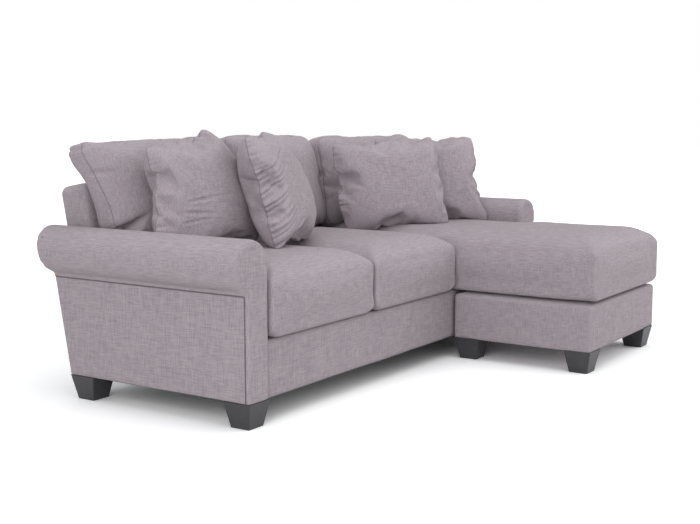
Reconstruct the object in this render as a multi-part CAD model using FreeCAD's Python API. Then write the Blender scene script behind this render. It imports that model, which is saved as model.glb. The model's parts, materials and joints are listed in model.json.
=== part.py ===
import FreeCAD, Part
import os
from math import asin, cos, pi, radians, sin, sqrt, tan
from FreeCAD import Matrix, Vector

# Sectional sofa with a movable chaise ottoman, upholstered in linen-look fabric.
# While it is built, X runs along the sofa from the base's left side, Y runs back from the
# front of the arms and Z runs up from the floor. The last step moves the origin to the
# middle of the footprint.

# Overall sizes in millimetres
foot_height = 90.0
foot_top = 114.0
foot_taper = 18.0
foot_edge = 2.5
arm_width = 109.0
seat_width = 640.0
seat_count = 3
base_width = 2 * arm_width + seat_count * seat_width
base_depth = 829.0
arm_height = 631.0
roll_radius = 86.0
roll_neck = 446.0
roll_neck_angle = 232.0
arm_edge = 10.0
border_setback = 11.0
deck_top = 288.0
rake = 10.76
back_thickness = 130.0
back_slant_height = 682.0
back_edge = 26.0
back_overhang = 24.0

# Ottoman
ottoman_width = 743.0
ottoman_front = -613.0
ottoman_rear = -4.0
ottoman_edge_top = 274.0
ottoman_pad_inset = 62.0

# Upholstery and frame stock
cover = 6.0
thin_cover = 3.0
dust_sheet = 1.5
board = 18.0
rail = 22.0
rail_height = 146.0
block = 84.0
block_height = 60.0
bent_board = 4.0
seat_of = 0.3
fit = 0.2

# Suspension
wire = 4.0
wave_half = 22.0
springs_per_seat = 3
sofa_waves = 17
ottoman_waves = 14
clip_length = 20.0
clip_width = 18.0
pad_thickness = 22.0
strap_width = 50.0
strap_thickness = 2.0

# Loose cushions
cushion_gap = 2.0
cushion_front = -18.0
cushion_seam = 14.0
cushion_box = 188.0
cushion_crown = 53.0
cushion_draw = 6.0
crown_steps = 5
corner_steps = 3
side_steps = 5
chaise_front = -632.0
chaise_right = 2112.0
back_cushion_height = 412.0
back_cushion_thickness = 212.0
pillow_width = 500.0
pillow_height = 436.0
pillow_thickness = 168.0
pillow_draw = 16.0

# Sizes that follow from the ones above
seat_start = [arm_width + seat_width * i for i in range(seat_count)]
arm_centre_x = arm_width - roll_radius
arm_centre_z = arm_height - roll_radius
chaise_left = seat_start[2]
ottoman_right = chaise_left + ottoman_width
lean_y = sin(radians(rake))
lean_z = cos(radians(rake))
frame_bottom = foot_height + 2 * dust_sheet
far = 3000.0


def box(x0, x1, y0, y1, z0, z1):
    """Box between two corners."""
    return Part.makeBox(x1 - x0, y1 - y0, z1 - z0, Vector(x0, y0, z0))


def line(a, b):
    return Part.LineSegment(a, b).toShape()


def arc(a, b, c):
    return Part.Arc(a, b, c).toShape()


def prism(points, along):
    """Solid pushed along a vector from a closed outline of straight lines."""
    return Part.Face(Part.makePolygon(points + [points[0]])).extrude(along)


def mirror(shape):
    """The same piece on the other side of the sofa."""
    return shape.mirror(Vector(base_width / 2, 0, 0), Vector(1, 0, 0))


def group(shapes):
    return Part.makeCompound(shapes)


def rear_at(z, inset=0.0):
    """Y of the raked rear face at height z, brought forward by inset."""
    return base_depth + (z - foot_height) * tan(radians(rake)) - inset / lean_z


def behind_rear(inset=0.0):
    """A large block behind the raked rear face, to trim what runs past it."""
    foot = Vector(-far, rear_at(0, inset), 0)
    top = Vector(-far, rear_at(far, inset), far)
    points = [foot, Vector(-far, far, 0), Vector(-far, far, far), top]
    return prism(points, Vector(2 * far, 0, 0))


def raked(shape):
    """Stands a piece that was built upright behind y = 0 along the raked back."""
    turned = shape.copy()
    turned.rotate(Vector(0, 0, 0), Vector(1, 0, 0), -rake)
    turned.translate(Vector(0, base_depth, foot_height))
    return turned


# Rolled arm

def arm_profile(inset, y):
    """Closed outline of the left arm seen from the front, drawn in by inset."""
    radius = roll_radius - inset

    def on_roll(angle):
        turn = radians(angle)
        x = arm_centre_x + radius * cos(turn)
        return Vector(x, y, arm_centre_z + radius * sin(turn))

    base_z = foot_height
    inner_top = on_roll(0)
    neck = Vector(inset, y, roll_neck + inset / 2)
    low_outer = Vector(inset, y, base_z)
    low_inner = Vector(inner_top.x, y, base_z)
    middle = roll_neck_angle / 2
    edges = [line(low_outer, neck), line(neck, on_roll(roll_neck_angle))]
    edges.append(arc(on_roll(roll_neck_angle), on_roll(middle * 1.5), on_roll(middle)))
    edges.append(arc(on_roll(middle), on_roll(middle / 2), inner_top))
    edges.append(line(inner_top, low_inner))
    edges.append(line(low_inner, low_outer))
    return Part.Face(Part.Wire(edges))


def arm_body(inset, front):
    """Solid of the left arm, drawn in by inset and trimmed to the raked rear."""
    pushed = arm_profile(inset, front).extrude(Vector(0, far / 2, 0))
    return pushed.cut(behind_rear(inset))


def front_edges(shape, y):
    """Edges of the arm's front face that the fabric rolls over."""
    found = []
    for edge in shape.Edges:
        bounds = edge.BoundBox
        if bounds.YMax - y < 0.01 and bounds.ZMax > foot_height + 1:
            found.append(edge)
    return found


arm_outer = arm_body(0, 0)
arm_outer = arm_outer.makeChamfer(arm_edge, front_edges(arm_outer, 0))
arm_hollow = arm_body(cover, cover)
panel_region = box(-1, cover, cover, far, 0, roll_neck - 1).cut(behind_rear(cover))
arm_skin = arm_outer.cut(arm_hollow)
arm_outside_panel = arm_skin.common(panel_region)
sheet_room = box(cover, arm_width + 1, cover, far, foot_height, foot_height + dust_sheet)
sheet_room = sheet_room.cut(behind_rear(cover))
arm_cover = arm_skin.cut(panel_region).cut(sheet_room)

arm_void = arm_body(cover, cover).common(box(-far, far, 0, far, frame_bottom, far))
front_board_at = cover + board
arm_front_board = arm_void.common(box(-far, far, cover, front_board_at, 0, far))
rear_slice = behind_rear(cover + board).cut(behind_rear(cover))
arm_back_board = arm_void.common(rear_slice)
between_boards = box(-far, far, front_board_at, far, 0, far).cut(behind_rear(cover + board))
roll_outer = Part.makeCylinder(
    roll_radius - cover, far, Vector(arm_centre_x, 0, arm_centre_z), Vector(0, 1, 0))
roll_inner = Part.makeCylinder(
    roll_radius - cover - bent_board, far, Vector(arm_centre_x, 0, arm_centre_z),
    Vector(0, 1, 0))
rail_low = arm_centre_z - rail
inner_rail_x = arm_width - cover - rail
arm_roll_form = roll_outer.cut(roll_inner).common(between_boards)
arm_roll_form = arm_roll_form.cut(box(arm_centre_x, far, 0, far, 0, arm_centre_z))
arm_inner_rail = box(inner_rail_x, arm_width - cover, 0, far, rail_low - rail, arm_centre_z)
arm_inner_rail = arm_inner_rail.common(between_boards)

# Raked back between the arms

back_left = arm_width - back_overhang
back_right = base_width - back_left


def back_block(inset, height, low=0.0):
    """Upright block of the back before it is raked, drawn in by inset."""
    return box(back_left + inset, back_right - inset, inset - back_thickness, -inset, low, height)


def top_edges(shape, height):
    """Edges round the top of the upright back block and up its two ends."""
    found = []
    for edge in shape.Edges:
        bounds = edge.BoundBox
        if bounds.ZMin > height - 0.01:
            found.append(edge)
    return found


back_upright = back_block(0, back_slant_height)
back_upright = back_upright.makeFillet(back_edge, top_edges(back_upright, back_slant_height))
arm_clear = arm_body(-seat_of, -seat_of)
above_feet = box(-far, far, 0, far, foot_height, far)
between_arms = box(arm_width + seat_of, base_width - arm_width - seat_of, 0, far, 0, far)
back_outer = raked(back_upright).common(above_feet)
back_outer = back_outer.cut(arm_clear).cut(mirror(arm_clear))
lower_ends = box(-far, far, 0, far, 0, arm_centre_z).cut(between_arms)
back_outer = back_outer.cut(lower_ends)
back_inner = raked(back_block(cover, back_slant_height - cover, -back_thickness))
back_inner = back_inner.common(box(arm_width + 2 * cover, base_width - arm_width - 2 * cover,
                                   0, far, 0, far))
under_deck = box(-far, far, 0, far, 0, deck_top).cut(behind_rear(cover))
back_cover = back_outer.cut(back_inner).cut(under_deck)

back_frame_top = back_slant_height - cover
post_depth = 60.0
post_width = 34.0
back_face = -cover
post_low = 150.0
inner_left = arm_width + 2 * cover
inner_right = base_width - inner_left
back_top_rail = raked(box(inner_left, inner_right, -back_thickness + 2 * cover, back_face,
                          back_frame_top - rail, back_frame_top))
post_pitch = (inner_right - inner_left - post_width) / seat_count
post_front = back_face - post_depth
posts = []
for i in range(seat_count + 1):
    left = inner_left + post_pitch * i
    posts.append(raked(box(left, left + post_width, post_front, back_face,
                           post_low, back_frame_top - rail)))
back_posts = group(posts)

# Webbing on the front of the back frame, straps down and straps across over them
strap_front = -back_thickness + 2 * cover
straps = []
strap_low = 230.0
straps_down = 3
straps_across = 3
for i in range(seat_count):
    left = inner_left + post_width + post_pitch * i
    step = (post_pitch - post_width) / straps_down
    for j in range(straps_down):
        middle = left + step * (j + 0.5)
        straps.append(box(middle - strap_width / 2, middle + strap_width / 2,
                          post_front - strap_thickness, post_front,
                          strap_low, back_frame_top - rail))
across_step = (back_frame_top - rail - strap_low) / (straps_across + 1)
for j in range(straps_across):
    middle = strap_low + across_step * (j + 1)
    straps.append(box(inner_left, inner_right,
                      post_front - 2 * strap_thickness, post_front - strap_thickness,
                      middle - strap_width / 2, middle + strap_width / 2))
back_webbing = raked(group(straps))

# Base frame

rail_top = frame_bottom + rail_height
front_rail_y = border_setback + cover
side_x = cover + board
back_rail_y = base_depth - cover - post_depth - rail
front_rail = box(arm_width + seat_of, base_width - arm_width - seat_of,
                 front_rail_y, front_rail_y + rail, frame_bottom, rail_top)
back_rail = box(arm_width + seat_of, base_width - arm_width - seat_of,
                back_rail_y, back_rail_y + rail, frame_bottom, rail_top)
side_rail_left = box(arm_width - cover - rail, arm_width - cover, front_board_at,
                     back_rail_y + rail, frame_bottom, rail_top)
side_rail_right = mirror(side_rail_left)
members = []
for x in seat_start[1:]:
    members.append(box(x - rail / 2, x + rail / 2, front_rail_y + rail, back_rail_y,
                       frame_bottom, rail_top - 2 * rail))
cross_members = group(members)

bolt_radius = 4.0
bolt_foot_depth = 52.0
bolt_block_depth = 44.0


def bolt(x, y):
    """Hanger bolt from a foot up into its corner block."""
    length = bolt_foot_depth + bolt_block_depth
    return Part.makeCylinder(bolt_radius, length, Vector(x, y, foot_height - bolt_foot_depth))


def bolt_room(x, y):
    """The blind bore that a bolt runs in, a little wider and longer than the bolt."""
    length = bolt_foot_depth + bolt_block_depth + 2 * fit
    low = foot_height - bolt_foot_depth - fit
    return Part.makeCylinder(bolt_radius + fit, length, Vector(x, y, low))


def foot(x, y):
    """Tapered square block foot whose top corner of least x and y is at x, y."""
    low = foot_taper
    high = foot_top - foot_taper
    body = Part.makeWedge(low, 0, low, 0, 0, high, foot_height, high, foot_top, foot_top)
    body.rotate(Vector(0, 0, 0), Vector(1, 0, 0), 90)
    body.translate(Vector(x, y + foot_top, 0))
    long_edges = [e for e in body.Edges if e.BoundBox.ZLength > foot_height / 2]
    body = body.makeChamfer(foot_edge, long_edges)
    return body.cut(bolt_room(x + foot_top / 2, y + foot_top / 2))


def corner_set(x0, x1, y0, y1):
    """Left front corners of the four feet of one base."""
    return [(x0, y0), (x1 - foot_top, y0), (x0, y1 - foot_top), (x1 - foot_top, y1 - foot_top)]


def block_at(x, y, size):
    """Corner block over a foot, bored for the bolt."""
    cx = x + foot_top / 2
    cy = y + foot_top / 2
    body = box(cx - size / 2, cx + size / 2, cy - size / 2, cy + size / 2,
               foot_height, foot_height + block_height)
    return body.cut(bolt_room(cx, cy))


sofa_corners = corner_set(0, base_width, 0, base_depth)
sofa_feet = [foot(x, y) for x, y in sofa_corners]
arm_block = arm_width - 2 * cover - rail - 1
sofa_blocks = []
for x, y in sofa_corners:
    cx = x + foot_top / 2
    left_side = cx < base_width / 2
    edge = cover + seat_of
    low = edge if left_side else base_width - edge - arm_block
    low_y = rear_at(foot_height, cover + board) - seat_of - block
    if y < base_depth / 2:
        low_y = front_board_at + seat_of
    wood = box(low, low + arm_block, low_y, low_y + block, foot_height, foot_height + block_height)
    sofa_blocks.append(wood.cut(bolt_room(cx, y + foot_top / 2)))
corner_blocks = group(sofa_blocks)
foot_bolts = group([bolt(x + foot_top / 2, y + foot_top / 2) for x, y in sofa_corners])


def dust_sheet_for(x0, x1, y0, y1, corners):
    """Sheet stapled under a base, cut out round the feet."""
    sheet = box(x0, x1, y0, y1, foot_height, foot_height + dust_sheet)
    grow = 1.0
    for x, y in corners:
        sheet = sheet.cut(box(x - grow, x + foot_top + grow, y - grow, y + foot_top + grow,
                              0, far))
    return sheet


sofa_dust_cover = dust_sheet_for(cover + seat_of, base_width - cover - seat_of,
                                 border_setback + cover, rear_at(foot_height, cover),
                                 sofa_corners)

# Border over the front rail, with a rolled top edge
border_lip = 46.0
border_roll = 14.0
border_outer = box(arm_width + seat_of, base_width - arm_width - seat_of,
                   border_setback, border_setback + border_lip, foot_height, deck_top)
roll_edge = []
for edge in border_outer.Edges:
    bounds = edge.BoundBox
    if bounds.XLength > far / 2 and bounds.YMax < border_setback + 1 and bounds.ZMin > deck_top - 1:
        roll_edge.append(edge)
border_outer = border_outer.makeFillet(border_roll, roll_edge)
border_fill = box(0, base_width, front_rail_y, far, 0, deck_top - cover)
front_border_cover = border_outer.cut(border_fill)

# Serpentine springs, their clips, and the padded deck over them


def wave_spring(x, y0, y1, waves, z):
    """Flat zigzag spring of square wire from y0 to y1, centred on x."""
    step = (y1 - y0 - wire) / (waves - 1)
    path = []
    for i in range(waves):
        y = y0 + wire / 2 + step * i
        side = wave_half if i % 2 else -wave_half
        path.append((x + side, y))
        path.append((x - side, y))
    ordered = []
    for i in range(waves):
        first = path[2 * i]
        second = path[2 * i + 1]
        ordered.append(first)
        ordered.append(second)
    half = wire / 2
    left = []
    right = []
    last = len(ordered) - 1
    for i, (px, py) in enumerate(ordered):
        before = ordered[max(i - 1, 0)]
        after = ordered[min(i + 1, last)]
        nx = 0.0
        ny = 0.0
        for (ax, ay), (bx, by) in ((before, (px, py)), ((px, py), after)):
            run = sqrt((bx - ax) ** 2 + (by - ay) ** 2)
            if run > 0:
                nx += -(by - ay) / run
                ny += (bx - ax) / run
        left.append(Vector(px + nx * half, py + ny * half, z))
        right.append(Vector(px - nx * half, py - ny * half, z))
    return prism(left + right[::-1], Vector(0, 0, wire))


def clip(x, y, z):
    """Bent clip that holds a spring's end down on a rail."""
    foot_plate = box(x - clip_width / 2, x + clip_width / 2, y, y + clip_length,
                     z, z + strap_thickness)
    hood = box(x - clip_width / 2, x + clip_width / 2, y, y + clip_length,
               z, z + 2 * strap_thickness + wire + fit)
    slot = box(x - far, x + far, y - 1, y + wire + 2 * fit + clip_length / 2,
               z + strap_thickness, z + strap_thickness + wire + fit)
    ramp = box(x - far, x + far, y + clip_length / 2 + wire + 2 * fit + strap_thickness, far,
               z + strap_thickness, far)
    return hood.cut(slot).cut(ramp).fuse(foot_plate).removeSplitter()


def suspension(x0, x1, count, y0, y1, waves, z):
    """Springs shared evenly between x0 and x1, with a clip at each end."""
    springs = []
    clips = []
    pitch = (x1 - x0) / count
    for i in range(count):
        x = x0 + pitch * (i + 0.5)
        springs.append(wave_spring(x, y0, y1, waves, z + strap_thickness + fit / 2))
        for at, turn in ((y0, 1), (y1, -1)):
            shift = clip_length / 2
            one = clip(0, -shift, z)
            if turn > 0:
                one.rotate(Vector(0, 0, 0), Vector(0, 0, 1), 180)
            one.translate(Vector(x, at, 0))
            clips.append(one)
    return springs, clips


spring_front = front_rail_y + rail / 2
spring_back = back_rail_y + rail / 2
seat_spring_list, clip_list = suspension(arm_width, base_width - arm_width,
                                         springs_per_seat * seat_count,
                                         spring_front, spring_back, sofa_waves, rail_top)
seat_springs = group(seat_spring_list)
spring_clips = group(clip_list)
deck_rear = rear_at(deck_top, back_thickness) - 2.0
deck_low = rail_top + 3 * strap_thickness + wire + 2 * fit
pad_top = deck_top - thin_cover
deck_front = front_rail_y + rail
deck_pad = box(arm_width + seat_of, base_width - arm_width - seat_of,
               deck_front + rail, deck_rear, pad_top - pad_thickness, pad_top)
deck_cover = box(arm_width + seat_of, base_width - arm_width - seat_of,
                 border_setback + border_lip, deck_rear, pad_top, deck_top)

# Soft forms are stacks of one drawn-in outline that shrinks over the crown


def outline(corners, radii, draws, bends=corner_steps):
    """Points of a closed outline with rounded corners and sides drawn in between them."""
    count = len(corners)
    points = [Vector(x, y, 0) for x, y in corners]
    rounded = []
    for i, p in enumerate(points):
        back = (points[i - 1] - p).normalize()
        ahead = (points[(i + 1) % count] - p).normalize()
        half = asin((back - ahead).Length / 2)
        radius = radii[i]
        bisector = (back + ahead).normalize()
        hub = p + bisector * (radius / sin(half))
        start = p + back * (radius / tan(half)) - hub
        end = p + ahead * (radius / tan(half)) - hub
        swept = pi - 2 * half
        bend = []
        for j in range(bends + 1):
            part = swept * j / bends
            mix = (start * sin(swept - part) + end * sin(part)) * (1 / sin(swept))
            bend.append(hub + mix)
        rounded.append(bend)
    outer = []
    for i in range(count):
        outer += rounded[i]
        a = rounded[i][-1]
        b = rounded[(i + 1) % count][0]
        run = (b - a).normalize()
        inward = Vector(-run.y, run.x, 0)
        for j in range(1, side_steps):
            t = j / side_steps
            outer.append(a + (b - a) * t + inward * (draws[i] * 4 * t * (1 - t)))
    return outer


settle_moves = 12
settle_close = 0.05


def stack(outer, centre, levels):
    """Solid through copies of one outline, each at its own height and scale about centre."""
    middle = Vector(centre[0], centre[1], 0)
    rings = []
    for level, scale in levels:
        rings.append([middle + (p - middle) * scale + Vector(0, 0, level) for p in outer])
    faces = [Part.Face(Part.makePolygon(ring + ring[:1])) for ring in (rings[0], rings[-1])]
    for low, high in zip(rings, rings[1:]):
        for i in range(len(outer)):
            k = (i + 1) % len(outer)
            faces.append(Part.Face(Part.makePolygon([low[i], low[k], high[k], high[i], low[i]])))
    solid = Part.Solid(Part.Shell(faces))
    if solid.Volume < 0:
        solid.reverse()
    return solid


def settled(shape, along, carriers):
    """Moves a loose piece along a direction until it lies against what carries it."""
    around = group(carriers)
    placed = shape.copy()
    for i in range(settle_moves):
        spare = placed.distToShape(around)[0] - seat_of
        if spare < settle_close:
            break
        placed.translate(along * spare)
    return placed


# Ottoman

ottoman_corners = corner_set(chaise_left, ottoman_right, ottoman_front, ottoman_rear)
ottoman_block = foot_top - 2 * (cover + rail + seat_of)
ottoman_feet = [foot(x, y) for x, y in ottoman_corners]
ottoman_blocks = group([block_at(x, y, ottoman_block) for x, y in ottoman_corners])
ottoman_bolts = group([bolt(x + foot_top / 2, y + foot_top / 2) for x, y in ottoman_corners])
in_x0 = chaise_left + cover
in_x1 = ottoman_right - cover
in_y0 = ottoman_front + cover
in_y1 = ottoman_rear - cover
low_rail_top = frame_bottom + rail_height
ottoman_front_rail = box(in_x0, in_x1, in_y0, in_y0 + rail, frame_bottom, low_rail_top)
ottoman_back_rail = box(in_x0, in_x1, in_y1 - rail, in_y1, frame_bottom, low_rail_top)
ottoman_rail_left = box(in_x0, in_x0 + rail, in_y0 + rail, in_y1 - rail,
                        frame_bottom, low_rail_top)
ottoman_rail_right = box(in_x1 - rail, in_x1, in_y0 + rail, in_y1 - rail,
                         frame_bottom, low_rail_top)
ottoman_spring_list, ottoman_clip_list = suspension(
    in_x0 + rail, in_x1 - rail, springs_per_seat, in_y0 + rail / 2, in_y1 - rail / 2,
    ottoman_waves, low_rail_top)
ottoman_springs = group(ottoman_spring_list + ottoman_clip_list)


def raised(x0, x1, y0, y1, draw, z0, z1):
    """Low platform that narrows by draw on every side between heights z0 and z1."""
    low = [Vector(x0, y0, z0), Vector(x1, y0, z0), Vector(x1, y1, z0), Vector(x0, y1, z0)]
    high = [Vector(x0 + draw, y0 + draw, z1), Vector(x1 - draw, y0 + draw, z1),
            Vector(x1 - draw, y1 - draw, z1), Vector(x0 + draw, y1 - draw, z1)]
    faces = [Part.Face(Part.makePolygon(ring + ring[:1])) for ring in (low, high)]
    for i in range(len(low)):
        k = (i + 1) % len(low)
        faces.append(Part.Face(Part.makePolygon([low[i], low[k], high[k], high[i], low[i]])))
    solid = Part.Solid(Part.Shell(faces))
    if solid.Volume < 0:
        solid.reverse()
    return solid


ottoman_shell = box(chaise_left, ottoman_right, ottoman_front, ottoman_rear,
                    foot_height, ottoman_edge_top)
upright_edges = [e for e in ottoman_shell.Edges if e.BoundBox.ZLength > 1]
ottoman_shell = ottoman_shell.makeFillet(2 * cover, upright_edges)
upper_edges = [e for e in ottoman_shell.Edges if e.BoundBox.ZMin > ottoman_edge_top - 1]
ottoman_shell = ottoman_shell.makeChamfer(cover, upper_edges)
ottoman_crown = raised(chaise_left + 2 * cover, ottoman_right - 2 * cover,
                       ottoman_front + 2 * cover, ottoman_rear - 2 * cover,
                       ottoman_pad_inset, ottoman_edge_top, deck_top)
ottoman_pad_low = deck_low
pad_room = raised(chaise_left + 3 * cover, ottoman_right - 3 * cover,
                  ottoman_front + 3 * cover, ottoman_rear - 3 * cover,
                  ottoman_pad_inset, ottoman_edge_top - thin_cover, deck_top - thin_cover)
inner_room = box(in_x0, in_x1, in_y0, in_y1, 0, ottoman_edge_top - cover)
pad_neck = box(chaise_left + 3 * cover, ottoman_right - 3 * cover, ottoman_front + 3 * cover,
               ottoman_rear - 3 * cover, ottoman_edge_top - 2 * cover,
               ottoman_edge_top - thin_cover)
pad_body = box(in_x0 + cover, in_x1 - cover, in_y0 + cover, in_y1 - cover,
               ottoman_pad_low, ottoman_edge_top - cover)
ottoman_cover = ottoman_shell.fuse(ottoman_crown).removeSplitter()
ottoman_cover = ottoman_cover.cut(inner_room.fuse([pad_neck, pad_room]))
ottoman_pad = pad_body.fuse([pad_neck, pad_room]).removeSplitter()
ottoman_dust_cover = dust_sheet_for(in_x0, in_x1, in_y0, in_y1, ottoman_corners)

def crown_levels(seam, rise, flat, steps):
    """Heights and scales from the seam up to a flat middle of the given scale."""
    levels = []
    for k in range(1, steps + 1):
        t = k / steps
        levels.append((seam + rise * (1 - (1 - t) ** 2), 1 - (1 - flat) * t ** 1.6))
    return levels


cushion_low = deck_top + seat_of
box_low = cushion_low + cushion_seam
box_top = box_low + cushion_box
seat_rear = deck_rear - cushion_gap
front_round = 44.0
rear_round = 24.0
bottom_scale = 0.94
waist_scale = 0.994
crown_flat = 0.34
seat_levels = [(cushion_low, bottom_scale), (box_low, 1.0),
               ((box_low + box_top) / 2, waist_scale), (box_top, 1.0)]
seat_levels += crown_levels(box_top, cushion_crown, crown_flat, crown_steps)
core_margin = 40.0
core_low = cushion_low + cover
core_top = box_top - cover


def seat_cushion(x0, x1):
    """Boxed seat cushion and the foam block inside it."""
    left = x0 + cushion_gap
    right = x1 - cushion_gap
    corners = [(left, cushion_front), (right, cushion_front), (right, seat_rear), (left, seat_rear)]
    radii = [front_round, front_round, rear_round, rear_round]
    centre = ((left + right) / 2, (cushion_front + seat_rear) / 2)
    draws = [cushion_draw, cushion_draw, 0.0, cushion_draw]
    skin = stack(outline(corners, radii, draws), centre, seat_levels)
    core = box(left + core_margin, right - core_margin, cushion_front + core_margin,
               seat_rear - core_margin, core_low, core_top)
    return skin.cut(core), core


seat_cushion_left, seat_foam_left = seat_cushion(seat_start[0], seat_start[1])
seat_cushion_middle, seat_foam_middle = seat_cushion(seat_start[1], seat_start[2])

arm_front_gap = 8.0
inner_arm = base_width - arm_width - cushion_gap
chaise_edge = chaise_left + cushion_gap
chaise_corners = [(chaise_edge, chaise_front), (chaise_right, chaise_front),
                  (chaise_right, -arm_front_gap), (inner_arm, -arm_front_gap),
                  (inner_arm, seat_rear), (chaise_edge, seat_rear)]
chaise_radii = [front_round, front_round, rear_round, cushion_seam, rear_round, rear_round]
chaise_draws = [cushion_draw, cushion_draw, 0.5, 1.0, 0.0, cushion_draw]
chaise_centre = ((chaise_edge + inner_arm) / 2, arm_front_gap)
chaise_skin = stack(outline(chaise_corners, chaise_radii, chaise_draws), chaise_centre,
                    seat_levels)
chaise_core = box(chaise_edge + core_margin, inner_arm - core_margin,
                  chaise_front + core_margin, seat_rear - core_margin, core_low, core_top)
wing_core = box(inner_arm - core_margin, chaise_right - core_margin, chaise_front + core_margin,
                -arm_front_gap - core_margin, core_low, core_top)
chaise_foam = chaise_core.fuse(wing_core).removeSplitter()
chaise_cushion = chaise_skin.cut(chaise_foam)

# Back cushions stand on the seats and lie against the raked back

back_face_y = rear_at(0, back_thickness)
rear_panel_scale = 0.92
side_band = 128.0
rear_band = 40.0
back_levels = [(0.0, rear_panel_scale), (rear_band, 1.0),
               ((rear_band + side_band) / 2, waist_scale), (side_band, 1.0)]
back_levels += crown_levels(side_band, back_cushion_thickness - side_band, crown_flat, crown_steps)
back_round = 46.0
arm_flare = 132.0


def stand_on_back(shape, lift):
    """Turns a cushion built flat so that it leans on the back, its foot at height lift."""
    up = Vector(0, lean_y, lean_z)
    out = Vector(0, -lean_z, lean_y)
    side = Vector(1, 0, 0)
    y = rear_at(lift, back_thickness) - seat_of / lean_z
    turn = Matrix(side.x, up.x, out.x, 0, side.y, up.y, out.y, y,
                  side.z, up.z, out.z, lift, 0, 0, 0, 1)
    return shape.transformed(turn, True)


def outer_back_cushion():
    """Left back cushion, whose upper corner slumps out over the arm."""
    left = arm_width + 2 * cushion_gap
    right = seat_start[1] - cushion_gap
    tall = back_cushion_height
    corners = [(left, 0), (right, 0), (right - 22, tall), (left - arm_flare, tall - 8),
               (left - 40, 118), (left, 90)]
    radii = [rear_round, back_round, back_round, back_round, rear_round, rear_round / 2]
    draws = [0.0, cushion_draw, -cushion_draw, cushion_draw, 1.0, 1.0]
    centre = ((left + right) / 2 - 20, tall / 2)
    return stack(outline(corners, radii, draws), centre, back_levels)


def middle_back_cushion():
    left = seat_start[1] + cushion_gap
    right = seat_start[2] - cushion_gap
    tall = back_cushion_height
    corners = [(left, 0), (right, 0), (right - 34, tall), (left + 12, tall)]
    radii = [back_round, back_round, 1.6 * back_round, back_round]
    draws = [0.0, cushion_draw, -cushion_draw, cushion_draw]
    centre = ((left + right) / 2, tall / 2)
    return stack(outline(corners, radii, draws), centre, back_levels)


seat_crown_top = box_top + cushion_crown
back_cushion_foot = 506.0
backward = Vector(0, 1, 0)
downward = Vector(0, 0, -1)
down_the_rake = Vector(0, -lean_y, -lean_z)
outer_cushion = stand_on_back(outer_back_cushion(), back_cushion_foot)
middle_cushion = stand_on_back(middle_back_cushion(), back_cushion_foot)
back_cushion_left = settled(outer_cushion, down_the_rake, [seat_cushion_left])
back_cushion_middle = settled(middle_cushion, down_the_rake, [seat_cushion_middle])
back_cushion_right = settled(mirror(outer_cushion), down_the_rake, [chaise_cushion])

# Throw pillows, each a knife-edged square with ears at its corners

pillow_steps = 5
pillow_flat = 0.22
pillow_round = 14.0
pillow_bends = 2
seam_half = 3.0


def pillow_body():
    """Pillow lying flat, its lower edge along y = 0."""
    half = pillow_width / 2
    corners = [(-half, 0), (half, 0), (half, pillow_height), (-half, pillow_height)]
    over = crown_levels(seam_half, pillow_thickness / 2 - seam_half, pillow_flat, pillow_steps)
    under = [(-level, scale) for level, scale in over[::-1]]
    levels = under + [(-seam_half, 1.0), (seam_half, 1.0)] + over
    draws = [0.0, pillow_draw, pillow_draw, pillow_draw]
    square = outline(corners, [pillow_round] * 4, draws, pillow_bends)
    return stack(square, (0, pillow_height / 2), levels)


def placed_pillow(x, y, yaw, lean):
    """Pillow whose lower edge's middle is at x, y, turned by yaw, leaning back on the seats."""
    turn = radians(yaw)
    tilt = radians(lean)
    side = Vector(cos(turn), sin(turn), 0)
    away = Vector(-sin(turn), cos(turn), 0)
    up = away * sin(tilt) + Vector(0, 0, cos(tilt))
    out = side.cross(up)
    turn_to = Matrix(side.x, up.x, out.x, x, side.y, up.y, out.y, y,
                     side.z, up.z, out.z, 0, 0, 0, 0, 1)
    pillow = pillow_body().transformed(turn_to, True)
    pillow.translate(Vector(0, 0, pillow_floor - pillow.BoundBox.ZMin))
    return pillow


pillow_floor = seat_crown_top + seat_of
left_pillow = placed_pillow(364.0, 470.0, 0.0, rake)
left_pillow = settled(left_pillow, backward, [back_cushion_left])
pillow_left = settled(left_pillow, down_the_rake, [seat_cushion_left])
leaning_pillow = placed_pillow(735.0, 315.0, 20.0, 20.0)
leaning_pillow = settled(leaning_pillow, backward, [pillow_left, back_cushion_middle])
pillow_left_front = settled(leaning_pillow, downward, [seat_cushion_left, seat_cushion_middle])
corner_pillow = placed_pillow(1829.0, 330.0, -44.0, 10.5)
pillow_right = settled(corner_pillow, downward, [chaise_cushion])
turned_pillow = placed_pillow(1520.0, 345.0, -33.0, 11.0)
turned_pillow = settled(turned_pillow, backward, [pillow_right, back_cushion_middle])
pillow_right_front = settled(turned_pillow, downward, [seat_cushion_middle, chaise_cushion])

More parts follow.
